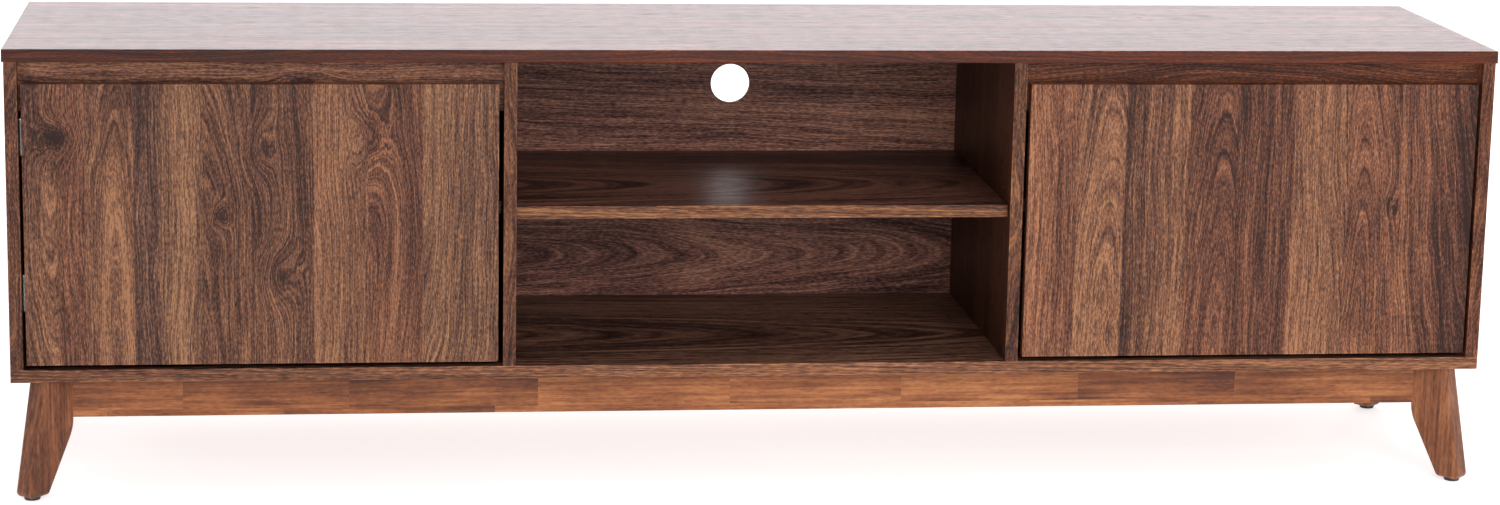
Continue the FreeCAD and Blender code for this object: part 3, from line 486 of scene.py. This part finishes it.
# ---- stained rubberwood of the base frame ---------------------------------------
RUBBERWOOD = [(0.15, (0.130, 0.0360, 0.0130)), (0.40, (0.270, 0.0850, 0.0280)),
              (0.60, (0.395, 0.1370, 0.0470)), (0.85, (0.570, 0.2300, 0.0860))]
FLECK_COLOUR = (0.060, 0.018, 0.008, 1)
STAVE_LENGTH, STAVE_ROW = 0.22, 0.05
UNJOINTED = 4.0             # a stave longer and wider than any piece leaves it in one
FINGER_WIDTH = 2.5 * MM
FINGER_SLOPE = 4.0


def rubberwood_group():
    """Stained rubberwood glued up from short finger-jointed staves along the vector's Y."""
    graph, inside, out = start_group(
        "rubberwood_stave",
        [("Vector", VECTOR, (0, 0, 0)), ("Seed", FLOAT, 0.0), ("Length", FLOAT, STAVE_LENGTH),
         ("Row", FLOAT, STAVE_ROW), ("Figure", FLOAT, 1.0)],
        [("Colour", COLOUR), ("Height", FLOAT)])
    across, along, depth = graph.split(inside["Vector"])
    row = graph.math("FLOOR", graph.math("DIVIDE", graph.math("ADD", across, 10.0), inside["Row"]))
    fingers = graph.math("PINGPONG", depth, FINGER_WIDTH)
    cut = graph.math("MULTIPLY_ADD", fingers, FINGER_SLOPE, along)
    cut = graph.math("MULTIPLY_ADD", row, 0.37, cut)
    run = graph.math("DIVIDE", graph.math("ADD", cut, inside["Seed"]), inside["Length"])
    uneven = graph.noise(graph.join(graph.math("MULTIPLY", run, 0.7), inside["Seed"]), 0.0)
    number = graph.math("FLOOR", graph.math("MULTIPLY_ADD", uneven, 0.9, run))
    dice = graph.node("ShaderNodeTexWhiteNoise", noise_dimensions="3D")
    graph.feed(dice.inputs["Vector"], graph.join(number, inside["Seed"], row))
    stave = dice.outputs["Value"]
    offset = graph.math("MULTIPLY", stave, 7.0)
    place = graph.vector("ADD", inside["Vector"], graph.join(offset, offset, inside["Seed"]))
    grain = graph.scaled_noise(place, (230.0, 7.0, 230.0), 4.0, 0.6)
    blotch = graph.scaled_noise(place, (28.0, 7.0, 28.0), 3.0, 0.55)
    fleck = graph.scaled_noise(place, (950.0, 60.0, 950.0), 1.0)
    ripple = graph.scaled_noise(place, (380.0, 120.0, 380.0), 2.0)
    tone = graph.vary(grain, 0.65, 0.5)
    tone = graph.vary(blotch, 0.55, tone)
    tone = graph.vary(ripple, 0.25, tone)
    tone = graph.vary(stave, 0.16, tone)
    tone = graph.vary(tone, inside["Figure"], 0.5)
    colour = graph.ramp(tone, RUBBERWOOD)
    colour = graph.mix(graph.fade(fleck, 0.58, 0.74, 0.0, 0.5), colour, FLECK_COLOUR)
    graph.feed(out["Colour"], colour)
    graph.feed(out["Height"], graph.math("SUBTRACT", grain, fleck))
    return graph.tree


STAVE = rubberwood_group()


def rubberwood(name, nodes, axes, seed, length=STAVE_LENGTH, row=STAVE_ROW, shade=(1, 1, 1),
               figure=1.8):
    """Stained rubberwood in staves of a length and row height; figure is its contrast."""
    material, graph, shader, place = new_material("rubberwood_" + name, 0.35)
    wood = graph.place(STAVE, Vector=grained(graph, place, axes), Seed=seed, Length=length, Row=row,
                       Figure=figure)
    graph.feed(shader["Base Color"], graph.tinted(wood["Colour"], shade))
    graph.feed(shader["Roughness"], graph.fade(wood["Height"], -0.5, 0.5, 0.50, 0.38))
    graph.feed(shader["Normal"], graph.bump(wood["Height"], 0.1 * MM, 0.5))
    for node in nodes:
        assign(node, material)


rubberwood("front_apron", ["front_apron"], "zxy", 0.0, shade=(0.82, 0.79, 0.74))
rubberwood("rear_apron", ["rear_apron"], "zxy", 3.3)
rubberwood("side_aprons", ["left_side_apron", "right_side_apron"], "zyx", 5.1)
rubberwood("cross_rails", ["cross_rails"], "zyx", 7.7)
rubberwood("corner_blocks", ["corner_blocks"], "zxy", 9.2, UNJOINTED, UNJOINTED,
           (1.1, 1.1, 1.1))
for leg, seed, figure in (("front_left_leg", 11.3, 2.3), ("front_right_leg", 14.2, 2.0),
                          ("rear_left_leg", 17.1, 2.4), ("rear_right_leg", 20.0, 2.4)):
    rubberwood(leg, [leg], "xzy", seed, UNJOINTED, UNJOINTED, (0.63, 0.60, 0.64), figure)


# ---- metal and plastic ----------------------------------------------------------
def plain_finish(name, nodes, colour, metallic, roughness, grit, depth):
    """Metal, plastic or plain wood with a fine uneven surface, dulled in patches.

    grit is how fine the unevenness is, and depth how deep.
    """
    material, graph, shader, place = new_material(name, 0.5)
    speck = graph.scaled_noise(place, (grit, grit, grit), 4.0, 0.6)
    cloud = graph.scaled_noise(place, (60, 60, 60), 2.0)
    darker = [0.7 * part for part in colour]
    dulled = graph.mix(graph.fade(cloud, 0.35, 0.7), (*colour, 1), (*darker, 1))
    graph.feed(shader["Base Color"], dulled)
    shader["Metallic"].default_value = metallic
    graph.feed(shader["Roughness"],
               graph.fade(speck, 0.3, 0.7, roughness * 0.8, roughness * 1.25))
    graph.feed(shader["Normal"], graph.bump(speck, depth, 0.6))
    for node in nodes:
        assign(node, material)


def pair(*names):
    """The left and the right node of each name."""
    return [side + "_" + name for side in ("left", "right") for name in names]


plain_finish("nickel_hinge",
             pair("hinge_arms", "hinge_plates", "hinge_cups", "hinge_pins", "strike_plate")
             + ["base_brackets"],
             (0.62, 0.60, 0.56), 1.0, 0.30, 700.0, 0.02 * MM)
plain_finish("zinc_screw",
             pair("hinge_cup_screws", "strike_screws")
             + ["hinge_arm_screws", "hinge_plate_screws", "catch_screws", "shelf_pins",
                "base_bracket_screws", "carcass_screws", "cam_bolts", "leg_bolts"],
             (0.60, 0.59, 0.57), 1.0, 0.35, 900.0, 0.02 * MM)
plain_finish("cast_cam", ["cam_locks"],
             (0.42, 0.42, 0.43), 1.0, 0.5, 500.0, 0.05 * MM)
plain_finish("beech_dowel", ["carcass_dowels", "rail_dowels"],
             (0.52, 0.33, 0.17), 0.0, 0.6, 400.0, 0.05 * MM)
plain_finish("catch_housing", ["magnetic_catches"],
             (0.05, 0.035, 0.028), 0.0, 0.45, 800.0, 0.03 * MM)
plain_finish("soft_bumper", ["door_bumpers"],
             (0.62, 0.60, 0.57), 0.0, 0.25, 300.0, 0.02 * MM)
plain_finish("glide_plastic", ["leg_glides"],
             (0.016, 0.015, 0.015), 0.0, 0.45, 600.0, 0.03 * MM)


# ---- stage, light and camera --------------------------------------------------
FLOOR_REACH = 14.0          # from the middle of the floor to its sides
FLOOR_GLOW = 0.58
WHITE = (1, 1, 1)
SKY_STRENGTH = 0.60
KEY_WATTS, SWEEP_WATTS = 95, 66
SWEEP_COLOUR = (1.0, 0.94, 0.98)
SENSOR_WIDTH, LENS = 36.0, 84.22                    # in millimetres
CAMERA_PLACE = (-0.5229, -4.2577, 1.1463)
YAW, PITCH, ROLL = 0.12368, 0.20533, 0.01984        # radians: right, down, about the lens


def make_floor():
    """Pale studio floor, one flat square that glows faintly."""
    mesh = bpy.data.meshes.new("studio_floor")
    shape = bmesh.new()
    bmesh.ops.create_grid(shape, x_segments=1, y_segments=1, size=FLOOR_REACH)
    shape.to_mesh(mesh)
    shape.free()
    floor = bpy.data.objects.new("studio_floor", mesh)
    bpy.context.scene.collection.objects.link(floor)
    material, graph, shader, place = new_material("studio_paper", 0.1)
    speck = graph.scaled_noise(place, (40, 40, 40), 3.0)
    paper = graph.mix(speck, (0.90, 0.90, 0.90, 1), (0.93, 0.93, 0.93, 1))
    graph.feed(shader["Base Color"], paper)
    shader["Roughness"].default_value = 0.9
    shader["Emission Color"].default_value = (*WHITE, 1)
    shader["Emission Strength"].default_value = FLOOR_GLOW
    mesh.materials.append(material)


def add_area(name, place, target, size, energy, colour=WHITE):
    """Soft box of a width and height, turned to its target and hidden from the camera."""
    light = bpy.data.lights.new(name, "AREA")
    light.shape = "RECTANGLE"
    light.size, light.size_y = size
    light.energy = energy
    light.color = colour
    lamp = bpy.data.objects.new(name, light)
    bpy.context.scene.collection.objects.link(lamp)
    facing = (Vector(target) - Vector(place)).to_track_quat("-Z", "Y")
    lamp.matrix_world = Matrix.Translation(place) @ facing.to_matrix().to_4x4()
    lamp.visible_camera = False


def make_light():
    """Even white sky, a soft box in front and a wide one behind for the top's sheen."""
    world = bpy.data.worlds.new("studio")
    bpy.context.scene.world = world
    world.use_nodes = True
    background = world.node_tree.nodes["Background"].inputs
    background["Color"].default_value = (*WHITE, 1)
    background["Strength"].default_value = SKY_STRENGTH
    add_area("front_key", (0.6, -4.4, 2.2), (0, 0, 0.3), (3.0, 1.6), KEY_WATTS)
    add_area("back_sweep", (0.3, 3.6, 1.5), (0, 0, 0.5), (6.0, 1.8), SWEEP_WATTS, SWEEP_COLOUR)


def make_camera():
    """Camera in front of the left half, looking down and a little to the right."""
    camera = bpy.data.cameras.new("studio_camera")
    camera.sensor_width = SENSOR_WIDTH
    camera.lens = LENS
    seat = bpy.data.objects.new("studio_camera", camera)
    bpy.context.scene.collection.objects.link(seat)
    turn = Matrix.Rotation(-YAW, 4, "Z") @ Matrix.Rotation(math.pi / 2 - PITCH, 4, "X")
    turn = turn @ Matrix.Rotation(ROLL, 4, "Z")
    seat.matrix_world = Matrix.Translation(CAMERA_PLACE) @ turn
    bpy.context.scene.camera = seat


make_floor()
make_light()
make_camera()
bpy.context.scene.view_settings.view_transform = "Standard"
